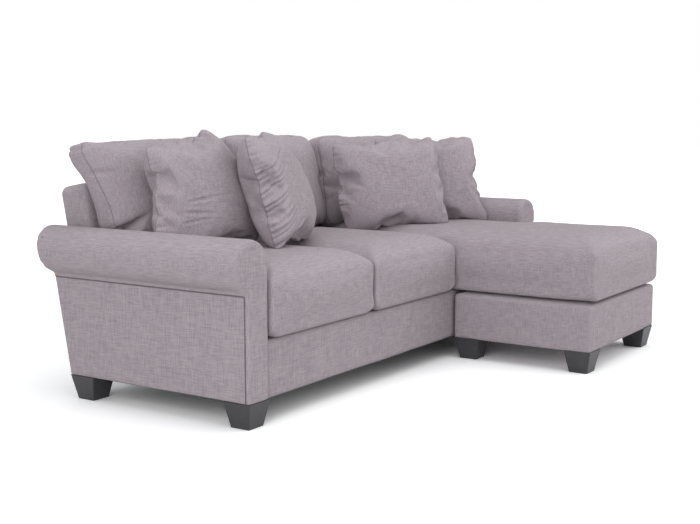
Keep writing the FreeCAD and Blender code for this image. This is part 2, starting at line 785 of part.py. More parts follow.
nodes = {
    "front_rail": front_rail,
    "back_rail": back_rail,
    "side_rail_left": side_rail_left,
    "side_rail_right": side_rail_right,
    "cross_members": cross_members,
    "corner_blocks": corner_blocks,
    "arm_front_board_left": arm_front_board,
    "arm_front_board_right": mirror(arm_front_board),
    "arm_back_board_left": arm_back_board,
    "arm_back_board_right": mirror(arm_back_board),
    "arm_inner_rail_left": arm_inner_rail,
    "arm_inner_rail_right": mirror(arm_inner_rail),
    "arm_roll_form_left": arm_roll_form,
    "arm_roll_form_right": mirror(arm_roll_form),
    "back_posts": back_posts,
    "back_top_rail": back_top_rail,
    "back_webbing": back_webbing,
    "seat_springs": seat_springs,
    "spring_clips": spring_clips,
    "deck_pad": deck_pad,
    "deck_cover": deck_cover,
    "arm_cover_left": arm_cover,
    "arm_cover_right": mirror(arm_cover),
    "arm_outside_panel_left": arm_outside_panel,
    "arm_outside_panel_right": mirror(arm_outside_panel),
    "front_border_cover": front_border_cover,
    "back_cover": back_cover,
    "sofa_dust_cover": sofa_dust_cover,
    "sofa_foot_front_left": sofa_feet[0],
    "sofa_foot_front_right": sofa_feet[1],
    "sofa_foot_back_left": sofa_feet[2],
    "sofa_foot_back_right": sofa_feet[3],
    "sofa_foot_bolts": foot_bolts,
    "ottoman_front_rail": ottoman_front_rail,
    "ottoman_back_rail": ottoman_back_rail,
    "ottoman_rail_left": ottoman_rail_left,
    "ottoman_rail_right": ottoman_rail_right,
    "ottoman_corner_blocks": ottoman_blocks,
    "ottoman_springs": ottoman_springs,
    "ottoman_pad": ottoman_pad,
    "ottoman_cover": ottoman_cover,
    "ottoman_dust_cover": ottoman_dust_cover,
    "ottoman_foot_front_left": ottoman_feet[0],
    "ottoman_foot_front_right": ottoman_feet[1],
    "ottoman_foot_back_left": ottoman_feet[2],
    "ottoman_foot_back_right": ottoman_feet[3],
    "ottoman_foot_bolts": ottoman_bolts,
    "seat_cushion_left": seat_cushion_left,
    "seat_foam_left": seat_foam_left,
    "seat_cushion_middle": seat_cushion_middle,
    "seat_foam_middle": seat_foam_middle,
    "chaise_cushion": chaise_cushion,
    "chaise_foam": chaise_foam,
    "back_cushion_left": back_cushion_left,
    "back_cushion_middle": back_cushion_middle,
    "back_cushion_right": back_cushion_right,
    "pillow_left": pillow_left,
    "pillow_left_front": pillow_left_front,
    "pillow_right_front": pillow_right_front,
    "pillow_right": pillow_right,
}

# The origin goes to the floor under the middle of the whole footprint
bounds = FreeCAD.BoundBox()
for shape in nodes.values():
    bounds.add(shape.optimalBoundingBox())
origin = Vector(bounds.Center.x, bounds.Center.y, 0)

os.makedirs("parts", exist_ok=True)
for name, shape in nodes.items():
    placed = shape.copy()
    placed.translate(origin * -1)
    placed.exportStep("parts/" + name + ".step")
print("pieces", len(nodes))
print("origin at", [round(v, 2) for v in origin])
print("size", [round(v, 2) for v in (bounds.XLength, bounds.YLength, bounds.ZLength)])
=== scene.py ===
# %% [markdown]
# # A sectional sofa with a chaise
# The sofa has two rolled arms, a raked back, three seat places and a loose ottoman. The
# cushion of the last place runs out over the ottoman and makes the chaise. The solid model
# of the construction is loaded first. It stays where it is, and every soft piece is made
# round it, in metres.

# %% Load the construction
import json
import math
import bpy
import numpy as np
from mathutils import Matrix, Vector, noise


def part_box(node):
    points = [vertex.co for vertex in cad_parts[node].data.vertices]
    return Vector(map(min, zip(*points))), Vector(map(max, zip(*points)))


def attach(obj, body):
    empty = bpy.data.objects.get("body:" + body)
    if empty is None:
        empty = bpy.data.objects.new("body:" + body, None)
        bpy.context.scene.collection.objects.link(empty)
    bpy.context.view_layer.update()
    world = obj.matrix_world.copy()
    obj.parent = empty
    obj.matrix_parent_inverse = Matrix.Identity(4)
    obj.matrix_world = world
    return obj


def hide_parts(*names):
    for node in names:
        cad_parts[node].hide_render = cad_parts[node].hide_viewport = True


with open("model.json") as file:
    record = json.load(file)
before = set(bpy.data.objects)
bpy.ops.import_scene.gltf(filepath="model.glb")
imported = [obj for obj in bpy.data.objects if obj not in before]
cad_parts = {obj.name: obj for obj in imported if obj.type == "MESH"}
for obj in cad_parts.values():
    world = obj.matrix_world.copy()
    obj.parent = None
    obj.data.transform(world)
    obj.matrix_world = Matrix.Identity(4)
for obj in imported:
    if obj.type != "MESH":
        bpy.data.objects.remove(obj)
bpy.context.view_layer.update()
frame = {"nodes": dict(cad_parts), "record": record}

scene = bpy.context.scene

# %% [markdown]
# ## The camera
# The sofa is seen from its front left, from about the height of a standing person's elbow.
# A rather long lens keeps the upright edges nearly parallel, as in a catalogue picture.

# %% Camera
eye = Vector((-3.91844, -2.43212, 1.034))
turn_right = math.radians(56.569)
look_down = math.radians(7.409)
forward = Vector((math.sin(turn_right) * math.cos(look_down),
                  math.cos(turn_right) * math.cos(look_down), -math.sin(look_down)))
camera_data = bpy.data.cameras.new("camera")
camera_data.sensor_width = 36.0
camera_data.lens = 58.91
camera = bpy.data.objects.new("camera", camera_data)
scene.collection.objects.link(camera)
camera.location = eye
camera.rotation_mode = "QUATERNION"
camera.rotation_quaternion = forward.to_track_quat("-Z", "Y")
scene.camera = camera
print("camera stands at", [round(v, 2) for v in eye])

# %% [markdown]
# ## The light
# Catalogue pictures of cloth are lit almost evenly, so that the weave and not the lamp is
# seen. A pale world gives the even part. Three wide lamps, overhead, beside the camera and
# from the right, give the forms a little direction. Node trees are built in code, and two
# small helpers for sums and for ranges keep that short.


# %% Helpers for node trees
def sum_node(tree, kind, *values):
    """Math node of a kind on sockets or numbers, and its result."""
    node = tree.nodes.new("ShaderNodeMath")
    node.operation = kind
    for socket, value in zip(node.inputs, values):
        if isinstance(value, (int, float)):
            socket.default_value = value
        else:
            tree.links.new(value, socket)
    return node.outputs[0]


def map_range(tree, value, from_low, from_high, to_low=0.0, to_high=1.0, kind="LINEAR"):
    """Map Range node on a socket, and its result."""
    node = tree.nodes.new("ShaderNodeMapRange")
    node.interpolation_type = kind
    limits = (from_low, from_high, to_low, to_high)
    for label, limit in zip(("From Min", "From Max", "To Min", "To Max"), limits):
        node.inputs[label].default_value = limit
    tree.links.new(value, node.inputs["Value"])
    return node.outputs[0]


# %% World
scene.view_settings.view_transform = "Standard"
world = bpy.data.worlds.new("studio")
scene.world = world
world.use_nodes = True
tree = world.node_tree
tree.nodes.clear()
even_light = tree.nodes.new("ShaderNodeBackground")
even_light.inputs["Color"].default_value = (0.97, 0.98, 1.0, 1.0)
even_light.inputs["Strength"].default_value = 0.68
shown_white = tree.nodes.new("ShaderNodeBackground")
shown_white.inputs["Color"].default_value = (1.0, 1.0, 1.0, 1.0)
shown_white.inputs["Strength"].default_value = 1.0
path = tree.nodes.new("ShaderNodeLightPath")
shows = sum_node(tree, "MAXIMUM", path.outputs["Is Camera Ray"], path.outputs["Is Glossy Ray"])
shows = sum_node(tree, "MAXIMUM", shows, path.outputs["Is Transmission Ray"])
pick = tree.nodes.new("ShaderNodeMixShader")
world_out = tree.nodes.new("ShaderNodeOutputWorld")
tree.links.new(shows, pick.inputs["Fac"])
tree.links.new(even_light.outputs[0], pick.inputs[1])
tree.links.new(shown_white.outputs[0], pick.inputs[2])
tree.links.new(pick.outputs[0], world_out.inputs["Surface"])


# %% Lamps
def soft_lamp(name, place, towards, size, watts):
    """A wide square lamp that looks towards a point."""
    data = bpy.data.lights.new(name, "AREA")
    data.size = size
    data.energy = watts
    lamp = bpy.data.objects.new(name, data)
    scene.collection.objects.link(lamp)
    lamp.location = place
    aim = Vector(towards) - Vector(place)
    lamp.rotation_mode = "QUATERNION"
    lamp.rotation_quaternion = aim.to_track_quat("-Z", "Y")


soft_lamp("overhead", (-0.4, -0.9, 4.2), (0.0, 0.1, 0.3), size=4.0, watts=52.0)
soft_lamp("beside_camera", (-5.2, -1.4, 2.4), (-0.6, 0.0, 0.4), size=2.8, watts=84.0)
soft_lamp("from_right", (2.6, -3.7, 2.2), (0.4, -0.1, 0.5), size=2.6, watts=46.0)
print("lamps", [lamp.name for lamp in bpy.data.lights])

# %% [markdown]
# ## The floor
# The floor is a plain white sheet. It is seen as white where nothing shades it, and it
# keeps the soft shadow between the feet. Further out a part of its white is its own, so that
# the lamps needn't be turned up to bleach it. Light that bounces off it on its way to the
# sofa meets plain pale paint instead.

# %% Floor
bpy.ops.object.select_all(action="DESELECT")
bpy.ops.mesh.primitive_plane_add(size=60.0, location=(0.0, 0.0, 0.0))
floor = bpy.context.object
floor.name = "floor"
floor_paint = bpy.data.materials.new("white_floor")
floor_paint.use_nodes = True
tree = floor_paint.node_tree
tree.nodes.clear()
bright_matt = tree.nodes.new("ShaderNodeBsdfDiffuse")
bright_matt.inputs["Color"].default_value = (1.30, 1.31, 1.30, 1.0)
own_white = tree.nodes.new("ShaderNodeEmission")
where = tree.nodes.new("ShaderNodeTexCoord")
how_far = tree.nodes.new("ShaderNodeVectorMath")
how_far.operation = "LENGTH"
tree.links.new(where.outputs["Object"], how_far.inputs[0])
glow = map_range(tree, how_far.outputs["Value"], 1.7, 4.5, 0.0, 0.5)
tree.links.new(glow, own_white.inputs["Strength"])
bleached = tree.nodes.new("ShaderNodeAddShader")
tree.links.new(bright_matt.outputs[0], bleached.inputs[0])
tree.links.new(own_white.outputs[0], bleached.inputs[1])
plain_matt = tree.nodes.new("ShaderNodeBsdfDiffuse")
plain_matt.inputs["Color"].default_value = (0.8, 0.8, 0.8, 1.0)
path = tree.nodes.new("ShaderNodeLightPath")
shows = sum_node(tree, "MAXIMUM", path.outputs["Is Camera Ray"], path.outputs["Is Glossy Ray"])
pick = tree.nodes.new("ShaderNodeMixShader")
floor_out = tree.nodes.new("ShaderNodeOutputMaterial")
tree.links.new(shows, pick.inputs["Fac"])
tree.links.new(plain_matt.outputs[0], pick.inputs[1])
tree.links.new(bleached.outputs[0], pick.inputs[2])
tree.links.new(pick.outputs[0], floor_out.inputs["Surface"])
floor.data.materials.append(floor_paint)

# %% [markdown]
# ## The weave
# The cover is a linen-look cloth: a plain weave of uneven yarn, lavender grey, with paler
# slubs that run both ways. From a few steps away only the slubs are seen, as short thin
# streaks. The pattern needs a place on the cloth and the way the cloth faces there, so that
# on each face the streaks run along the two directions that lie in it. The effect is one
# node group, because many pieces use it.


# %% Helpers for node groups
def new_group(name, takes, gives):
    """Empty node group with named sockets, its input node and its output node."""
    made = bpy.data.node_groups.new(name, "ShaderNodeTree")
    for label, kind in takes:
        made.interface.new_socket(label, in_out="INPUT", socket_type=kind)
    for label, kind in gives:
        made.interface.new_socket(label, in_out="OUTPUT", socket_type=kind)
    start = made.nodes.new("NodeGroupInput")
    end = made.nodes.new("NodeGroupOutput")
    return made, start, end


def parts_of(tree, vector):
    """The X, Y and Z sockets of a vector socket."""
    node = tree.nodes.new("ShaderNodeSeparateXYZ")
    tree.links.new(vector, node.inputs[0])
    return node.outputs


def add_up(tree, values):
    """Sum of several sockets."""
    total = values[0]
    for value in values[1:]:
        total = sum_node(tree, "ADD", total, value)
    return total


def blend_colour(tree, share, one, other):
    """Mix node on two colours, each a socket or a value, and its result."""
    node = tree.nodes.new("ShaderNodeMix")
    node.data_type = "RGBA"
    for socket, value in ((node.inputs["Factor"], share), (node.inputs[6], one), (node.inputs[7], other)):
        if isinstance(value, tuple):
            socket.default_value = value
        else:
            tree.links.new(value, socket)
    return node.outputs[2]


def grain_noise(tree, place, size, detail):
    """Noise whose grains are of a given size in metres along X, Y and Z."""
    mapping = tree.nodes.new("ShaderNodeMapping")
    mapping.inputs["Scale"].default_value = [1.0 / s for s in size]
    tree.links.new(place, mapping.inputs["Vector"])
    texture = tree.nodes.new("ShaderNodeTexNoise")
    texture.inputs["Scale"].default_value = 1.0
    texture.inputs["Detail"].default_value = detail
    texture.inputs["Roughness"].default_value = 0.5
    tree.links.new(mapping.outputs["Vector"], texture.inputs["Vector"])
    return texture.outputs["Fac"]


# %% Slubs that run both ways
VECTOR = "NodeSocketVector"
FLOAT = "NodeSocketFloat"
COLOUR = "NodeSocketColor"
SURFACE = [("Colour", COLOUR), ("Roughness", FLOAT), ("Height", FLOAT)]
weave, start, end = new_group(
    "slub_weave",
    [("Place", VECTOR), ("Facing", VECTOR), ("Seam", FLOAT), ("Ground", COLOUR), ("Slub", COLOUR),
     ("Shade", COLOUR), ("Thread pitch", FLOAT), ("Seam shade", FLOAT)], SURFACE)
place = start.outputs["Place"]
facing = parts_of(weave, start.outputs["Facing"])
across = {}
for axis in "XYZ":
    across[axis] = sum_node(weave, "POWER", sum_node(weave, "ABSOLUTE", facing[axis]), 2.0)
slub_thickness = 0.0021
slub_length = 0.040
streaks = []
for i, axis in enumerate("XYZ"):
    size = [slub_thickness] * 3
    size[i] = slub_length
    yarn = grain_noise(weave, place, size, 2.0)
    lies_in_face = sum_node(weave, "SUBTRACT", 1.0, across[axis])
    centred = sum_node(weave, "SUBTRACT", yarn, 0.5)
    streaks.append(sum_node(weave, "MULTIPLY", centred, lies_in_face))
crossed = add_up(weave, streaks)

# %% Colour of the cloth
# Near black for the painted shadow in the seams.
SEAM_SHADOW_COLOUR = (0.085, 0.070, 0.080, 1.0)
patch_size = 0.09
streak_contrast = 1.35
patch_contrast = 0.16
patches = grain_noise(weave, place, [patch_size] * 3, 3.0)
uneven = sum_node(weave, "MULTIPLY_ADD", patches, 0.9, -0.45)
faint = sum_node(weave, "MULTIPLY", uneven, patch_contrast)
mixed = sum_node(weave, "MULTIPLY_ADD", crossed, streak_contrast, faint)
pale_share = map_range(weave, mixed, -0.02, 0.48)
dark_share = map_range(weave, mixed, 0.02, -0.42)
cloth = blend_colour(weave, pale_share, start.outputs["Ground"], start.outputs["Slub"])
cloth = blend_colour(weave, dark_share, cloth, start.outputs["Shade"])
# Along each seam the cloth is blended towards that near black: a painted shadow of the crease that the
# seam draws in.
from_seam = sum_node(weave, "ABSOLUTE", start.outputs["Seam"])
in_seam = map_range(weave, from_seam, 0.0006, 0.0042, 1.0, 0.0, kind="SMOOTHSTEP")
seam_shadow_share = sum_node(weave, "MULTIPLY", in_seam, start.outputs["Seam shade"])
cloth = blend_colour(weave, seam_shadow_share, cloth, SEAM_SHADOW_COLOUR)
weave.links.new(cloth, end.inputs["Colour"])

# %% Threads, slubs and seams as relief
slub_relief = 2.0
seam_relief = -2.2
place_parts = parts_of(weave, place)
waves = {}
for axis in "XYZ":
    turns = sum_node(weave, "DIVIDE", place_parts[axis], start.outputs["Thread pitch"])
    waves[axis] = sum_node(weave, "SINE", sum_node(weave, "MULTIPLY", turns, math.pi))
bumps = []
for axis, one, other in (("X", "Y", "Z"), ("Y", "X", "Z"), ("Z", "X", "Y")):
    crossing = sum_node(weave, "MULTIPLY", waves[one], waves[other])
    bumps.append(sum_node(weave, "MULTIPLY", crossing, across[axis]))
height = sum_node(weave, "MULTIPLY_ADD", crossed, slub_relief, add_up(weave, bumps))
height = sum_node(weave, "MULTIPLY_ADD", in_seam, seam_relief, height)
weave.links.new(height, end.inputs["Height"])
rough = sum_node(weave, "MULTIPLY_ADD", pale_share, -0.08, 0.93)
weave.links.new(rough, end.inputs["Roughness"])
print("weave group has", len(weave.nodes), "nodes")

# %% [markdown]
# Each soft piece carries the weave in its own mesh: one attribute keeps the place of each
# point on the cloth, before the piece is leaned or set on the seat, and another keeps the
# way the cloth faced there. A third keeps how far the nearest seam is, with opposite signs
# on its two sides, which draws a seam sharper than the mesh is fine, as a groove and as a
# line of painted shade.


# %% Linen materials
def grouped_material(name, effect, values, strength, depth):
    """Material that takes its colour, roughness and relief from a node group."""
    made = bpy.data.materials.new(name)
    made.use_nodes = True
    tree = made.node_tree
    skin = tree.nodes["Principled BSDF"]
    group = tree.nodes.new("ShaderNodeGroup")
    group.node_tree = effect
    for label, value in values.items():
        group.inputs[label].default_value = value
    bump = tree.nodes.new("ShaderNodeBump")
    bump.inputs["Strength"].default_value = strength
    bump.inputs["Distance"].default_value = depth
    tree.links.new(group.outputs["Colour"], skin.inputs["Base Color"])
    tree.links.new(group.outputs["Roughness"], skin.inputs["Roughness"])
    tree.links.new(group.outputs["Height"], bump.inputs["Height"])
    tree.links.new(bump.outputs["Normal"], skin.inputs["Normal"])
    return made, group, skin


def linen_material(name, seam_shade):
    """Linen cover that reads its place, facing and seams from the piece's own attributes.
    Its seams are darkened with painted shade.
    """
    values = {"Ground": (0.386, 0.330, 0.364, 1.0), "Slub": (0.480, 0.425, 0.448, 1.0),
              "Shade": (0.285, 0.238, 0.268, 1.0), "Thread pitch": 0.0013, "Seam shade": seam_shade}
    made, group, skin = grouped_material(name, weave, values, 0.55, 0.0009)
    for label, result, socket in (("cloth_place", "Vector", "Place"), ("cloth_facing", "Vector", "Facing"),
                                  ("cloth_seam", "Fac", "Seam")):
        reader = made.node_tree.nodes.new("ShaderNodeAttribute")
        reader.attribute_name = label
        made.node_tree.links.new(reader.outputs[result], group.inputs[socket])
    skin.inputs["Sheen Weight"].default_value = 0.12
    skin.inputs["Sheen Roughness"].default_value = 0.6
    skin.inputs["Specular IOR Level"].default_value = 0.18
    return made


# The two linens differ only in how dark the painted seam shade is: strong on the arms and their panels,
# faint on the back cushions and pillows.
linen = linen_material("linen", 0.85)
loose_linen = linen_material("loose_linen", 0.42)
print("linen materials", linen.name, loose_linen.name)

# %% [markdown]
# ## Helpers for soft pieces
# A cushion cover is cut flat, sewn and stuffed. To copy that, a closed mesh is swollen from
# inside with a cloth simulation. The cover may move only so far, because stuffing is firm,
# and then the piece is pressed clear of what it leans on. The same few steps serve every
# cushion, so they are functions.


# %% Helpers for meshes
# What lies this near to a plane counts as lying in it.
HAIR = 0.001


def only(piece):
    """Selects one piece and makes it active."""
    bpy.ops.object.select_all(action="DESELECT")
    piece.select_set(True)
    bpy.context.view_layer.objects.active = piece


def read_points(piece, label):
    """What a mesh keeps of its points under a label, one row for each point."""
    flat = np.empty(len(piece.data.vertices) * 3)
    piece.data.vertices.foreach_get(label, flat)
    return flat.reshape(-1, 3)


def points_of(piece):
    return read_points(piece, "co")


def normals_of(piece):
    return read_points(piece, "normal")


def set_points(piece, points):
    piece.data.vertices.foreach_set("co", np.asarray(points, float).ravel())
    piece.data.update()


def apply_modifier(piece, kind, **values):
    """Adds a modifier, sets its values and applies it."""
    only(piece)
    modifier = piece.modifiers.new(kind.lower(), kind)
    for label, value in values.items():
        setattr(modifier, label, value)
    bpy.ops.object.modifier_apply(modifier=modifier.name)


def edit_whole(piece, operator, **values):
    """Runs an operator of edit mode on the whole mesh of a piece."""
    only(piece)
    bpy.ops.object.mode_set(mode="EDIT")
    bpy.ops.mesh.select_all(action="SELECT")
    operator(**values)
    bpy.ops.object.mode_set(mode="OBJECT")


def mirror(piece):
    """Turns a piece over to the other side of the sofa, with its faces still outwards."""
    edit_whole(piece, bpy.ops.transform.resize, value=(-1.0, 1.0, 1.0), center_override=(0.0, 0.0, 0.0))
    edit_whole(piece, bpy.ops.mesh.normals_make_consistent, inside=False)


def add_block(name, low, high):
    """Box between two corners, its place in its mesh."""
    bpy.ops.object.select_all(action="DESELECT")
    middle = [(a + b) / 2 for a, b in zip(low, high)]
    bpy.ops.mesh.primitive_cube_add(size=1.0, location=middle)
    block = bpy.context.object
    block.name = name
    block.scale = [b - a for a, b in zip(low, high)]
    bpy.ops.object.transform_apply(location=True, rotation=True, scale=True)
    return block


def combine(piece, other, kind):
    """Joins a piece with another, or cuts it by the other, which is then removed."""
    apply_modifier(piece, "BOOLEAN", object=other, operation=kind, solver="EXACT")
    bpy.data.objects.remove(other)


# %% Helpers for edges
def upright(a, b):
    """Whether an edge climbs further than any rounding of an edge does."""
    return abs(a.z - b.z) > 0.1


def round_edges(piece, wanted, radius, steps):
    """Bevels the edges whose two ends satisfy wanted."""
    only(piece)
    bpy.context.tool_settings.mesh_select_mode = (False, True, False)
    bpy.ops.object.mode_set(mode="EDIT")
    bpy.ops.mesh.select_all(action="DESELECT")
    bpy.ops.object.mode_set(mode="OBJECT")
    for edge in piece.data.edges:
        a, b = (piece.data.vertices[v].co for v in edge.vertices)
        edge.select = bool(wanted(a, b))
    bpy.ops.object.mode_set(mode="EDIT")
    bpy.ops.mesh.bevel(offset=radius, segments=steps, affect="EDGES")
    bpy.ops.object.mode_set(mode="OBJECT")


# %% Helpers for the skin
def even_skin(piece, grain):
    """Rebuilds a piece as a skin of even cells."""
    apply_modifier(piece, "REMESH", mode="VOXEL", voxel_size=grain)


def smooth_skin(piece, rounds):
    apply_modifier(piece, "SMOOTH", factor=0.5, iterations=rounds)


def loosen(piece, depth, size, shift=0.0, outwards=False):
    """Moves the skin in and out along its normals by smooth noise, or only outwards."""
    points = points_of(piece)
    offset = Vector((shift, shift * 0.7, shift * 1.3))
    waves = np.array([noise.noise(Vector(p) / size + offset) for p in points])
    if outwards:
        waves = waves * 0.5 + 0.5
    set_points(piece, points + normals_of(piece) * (waves * depth)[:, None])


def soften(piece, grain, rounds, slack, slack_size):
    """Rebuilds a piece as an even skin, rounds its edges off and gives the cloth a little slack."""
    even_skin(piece, grain)
    smooth_skin(piece, rounds)
    loosen(piece, slack, slack_size, outwards=True)


def fit_box(piece, low, high):
    """Stretches a piece to fill a box."""
    points = points_of(piece)
    a, b = points.min(axis=0), points.max(axis=0)
    low, high = np.array(low), np.array(high)
    set_points(piece, low + (points - a) / (b - a) * (high - low))


def press_clear(piece, others, gap=0.0015):
    """Flattens a piece where it presses on others, so that a small gap stays."""
    for other in others:
        apply_modifier(piece, "SHRINKWRAP", target=other, wrap_method="NEAREST_SURFACEPOINT",
                       wrap_mode="OUTSIDE", offset=gap)


# %% Helpers for seams and folds
def bell(distance, reach):
    """1 at no distance, about a third at the reach, and next to nothing at twice the reach."""
    return np.exp(-(distance / reach) ** 2)


def beside_two(values, one, other):
    """Signed distance from the nearer of two parallel seams, without a jump between them."""
    return (values - one) * (values - other) / abs(other - one)


def mark_seam(piece, distance):
    """Writes how far each point is from the nearest seam, in metres."""
    mesh = piece.data
    layer = mesh.attributes.get("cloth_seam") or mesh.attributes.new("cloth_seam", "FLOAT", "POINT")
    layer.data.foreach_set("value", np.asarray(distance, float))


def mark_cloth(piece):
    """Writes the place and the facing of every point of the cloth into the mesh, and no seam."""
    for label, rows in (("cloth_place", points_of(piece)), ("cloth_facing", normals_of(piece))):
        layer = piece.data.attributes.new(label, "FLOAT_VECTOR", "POINT")
        layer.data.foreach_set("vector", rows.ravel())
    mark_seam(piece, np.ones(len(piece.data.vertices)))


def sink_seam(piece, depth, width):
    """Draws the skin in along its seams."""
    distance = np.empty(len(piece.data.vertices))
    piece.data.attributes["cloth_seam"].data.foreach_get("value", distance)
    pull = depth * bell(distance, width)
    set_points(piece, points_of(piece) - normals_of(piece) * pull[:, None])


def press_folds(piece, folds, all_round=False):
    """Presses folds into the side that looks along -Y, or all round. A fold has two ends in
    the XZ plane, a depth and a half width, and fades out towards its second end. Along both
    sides of its valley runs a ridge of half the depth."""
    points = points_of(piece)
    normals = normals_of(piece)
    shown = 1.0 if all_round else np.clip(0.2 - normals[:, 1] * 2.5, 0.0, 1.0)
    flat = points[:, [0, 2]]
    shift = np.zeros(len(points))
    ridge_share, ridge_away = 0.5, 1.9
    for x0, z0, x1, z1, depth, width in folds:
        first = np.array([x0, z0])
        run = np.array([x1, z1]) - first
        t = np.clip((flat - first) @ run / (run @ run), 0.0, 1.0)
        away = np.linalg.norm(flat - first - t[:, None] * run, axis=1) / width
        valley = bell(away, 1.0) - ridge_share * bell(away - ridge_away, 1.0)
        shift += depth * (1.0 - t) ** 0.8 * np.minimum(1.0, t * 6.0 + 0.35) * valley
    set_points(piece, points - normals * (shift * shown)[:, None])


# %% Helper for stuffing
def swell(piece, pressure, steps, cap, grow, bending, tension=15.0):
    """Blows the closed skin up like a stuffed cover. No point moves further than cap."""
    before = points_of(piece)
    only(piece)
    modifier = piece.modifiers.new("stuffing", "CLOTH")
    cloth = modifier.settings
    cloth.quality = 4
    cloth.mass = 0.3
    cloth.tension_stiffness = tension
    cloth.compression_stiffness = tension
    cloth.shear_stiffness = 5.0
    cloth.bending_stiffness = bending
    cloth.use_pressure = True
    cloth.uniform_pressure_force = pressure
    cloth.shrink_min = -grow
    cloth.effector_weights.gravity = 0.0
    modifier.collision_settings.use_collision = False
    modifier.point_cache.frame_start = 1
    modifier.point_cache.frame_end = steps
    for step in range(1, steps + 1):
        scene.frame_set(step)
    bpy.ops.object.modifier_apply(modifier=modifier.name)
    scene.frame_set(1)
    moved = points_of(piece) - before
    moved -= moved.mean(axis=0)
    length = np.linalg.norm(moved, axis=1)
    allowed = cap * np.tanh(length / cap) / np.maximum(length, 1e-9)
    set_points(piece, before + moved * allowed[:, None])


# %% Last step of every soft piece
def finish_soft(piece, material, body, node):
    """Gives a soft piece its material and its body, and hides the solid that it stands for."""
    piece.data.materials.clear()
    piece.data.materials.append(material)
    only(piece)
    bpy.ops.object.shade_smooth()
    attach(piece, body)
    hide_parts(node)
    print(piece.name, "has", len(piece.data.polygons), "faces")


# %% [markdown]
# ## The rolled arms
# Each arm is a narrow post with a roll along its top that bulges outwards only. The cloth is
# drawn over the roll and round the front in one piece, and a flat panel closes the side
# under the roll. The arm is a cylinder joined to a block, cut along the raked back, with a
# shallow recess where the panel lies. Rebuilding it as an even skin and smoothing it rounds
# the edges as padding does.

# %% Arm sizes, read from the construction
arm_low, arm_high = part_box("arm_cover_left")
side_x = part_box("arm_outside_panel_left")[0].x
rake = math.radians(10.76)
roll_radius = 0.086
roll_x = arm_high.x - roll_radius
roll_z = arm_high.z - roll_radius
base_z = arm_low.z
rear_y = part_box("sofa_foot_back_left")[1].y
# A place behind the whole sofa, to which a piece reaches before its rear is cut off.
BEHIND_ALL = 1.2
print("roll centre", round(roll_x, 3), round(roll_z, 3), "rear of the base", round(rear_y, 3))


# %% Model the left arm
def cut_behind(piece, inset=0.0):
    """Cuts a piece along the raked rear plane and closes the cut."""
    foot = (0.0, rear_y - inset / math.cos(rake), base_z)
    normal = (0.0, math.cos(rake), -math.sin(rake))
    edit_whole(piece, bpy.ops.mesh.bisect, plane_co=foot, plane_no=normal, use_fill=True, clear_outer=True)


def arm_form(name, grow, rim=0.0):
    """Post and roll of the left arm, grown on every side, their front rims rounded."""
    front = arm_low.y - grow
    post = add_block(name, (side_x - grow, front, base_z), (arm_high.x + grow, BEHIND_ALL, roll_z))
    bpy.ops.object.select_all(action="DESELECT")
    length = BEHIND_ALL - front
    bpy.ops.mesh.primitive_cylinder_add(
        vertices=72, radius=roll_radius + grow, depth=length,
        location=(roll_x, front + length / 2, roll_z), rotation=(math.pi / 2, 0.0, 0.0))
    roll = bpy.context.object
    bpy.ops.object.transform_apply(location=True, rotation=True, scale=True)
    if rim:
        near = front + HAIR
        round_edges(post, lambda a, b: max(a.y, b.y) < near and upright(a, b), rim, 5)
        round_edges(roll, lambda a, b: max(a.y, b.y) < near, rim, 5)
    combine(post, roll, "UNION")
    return post


arm = arm_form("arm_left", 0.0, rim=0.017)
cut_behind(arm)
panel_depth = 0.0022
panel_front = arm_low.y + 0.016
panel_top = 0.4465
past = 0.05
recess = add_block("recess", (side_x - past, panel_front, base_z - past),
                   (side_x + panel_depth, BEHIND_ALL, panel_top))
combine(arm, recess, "DIFFERENCE")
soften(arm, grain=0.0055, rounds=3, slack=0.0010, slack_size=0.16)
arm_wood = [frame["nodes"]["arm_front_board_left"], frame["nodes"]["arm_roll_form_left"]]
press_clear(arm, arm_wood, gap=0.0035)
print("left arm has", len(arm.data.vertices), "points")

# %% The seam round the left arm's panel
points = points_of(arm)
inside = np.minimum(points[:, 1] - panel_front, panel_top - points[:, 2])
outside = np.hypot(np.minimum(points[:, 1] - panel_front, 0.0),
                   np.maximum(points[:, 2] - panel_top, 0.0))
on_side = points[:, 0] < side_x + 0.008
mark_cloth(arm)
# The seam distance also draws a dark line of painted shade round the panel in the linen.
mark_seam(arm, np.where(on_side, np.where(inside > 0.0, -inside, outside), 1.0))

# %% [markdown]
# The outside panel is cut a little larger than its recess. Its edges are turned in and
# padded, so its round edge and the arm's meet in a narrow seam, without a cord. The seam's
# dark line is painted shade.

# %% Outside panel of the left arm
turned_in = 0.0012
panel_low = (side_x - 0.0005, panel_front - turned_in, base_z + HAIR)
panel_high = (side_x + panel_depth + 0.004, BEHIND_ALL, panel_top + turned_in)
panel = add_block("arm_panel_left", panel_low, panel_high)
cut_behind(panel, inset=0.003)
round_edges(panel, lambda a, b: a.x < side_x and b.x < side_x, radius=0.0042, steps=3)
soften(panel, grain=0.0045, rounds=1, slack=0.0012, slack_size=0.22)
points = points_of(panel)
mark_cloth(panel)
# The panel's edge carries the same line of painted shade.
mark_seam(panel, np.minimum(points[:, 1] - panel_front, panel_top - points[:, 2]))


# %% The right arm is the left one mirrored
def mirrored(piece, name):
    """Copy of a piece on the other side."""
    twin = bpy.data.objects.new(name, piece.data.copy())
    scene.collection.objects.link(twin)
    mirror(twin)
    return twin


arm_right = mirrored(arm, "arm_right")
panel_right = mirrored(panel, "arm_panel_right")
for piece, node in ((arm, "arm_cover_left"), (panel, "arm_outside_panel_left"),
                    (arm_right, "arm_cover_right"), (panel_right, "arm_outside_panel_right")):
    finish_soft(piece, linen, "sofa_frame", node)

# %% [markdown]
# ## The back
# The back is a padded slab that leans between the arms and reaches a little over each of
# them. It is a block with rounded edges, turned back by the rake, cut off at the base and
# cut out round the arms.

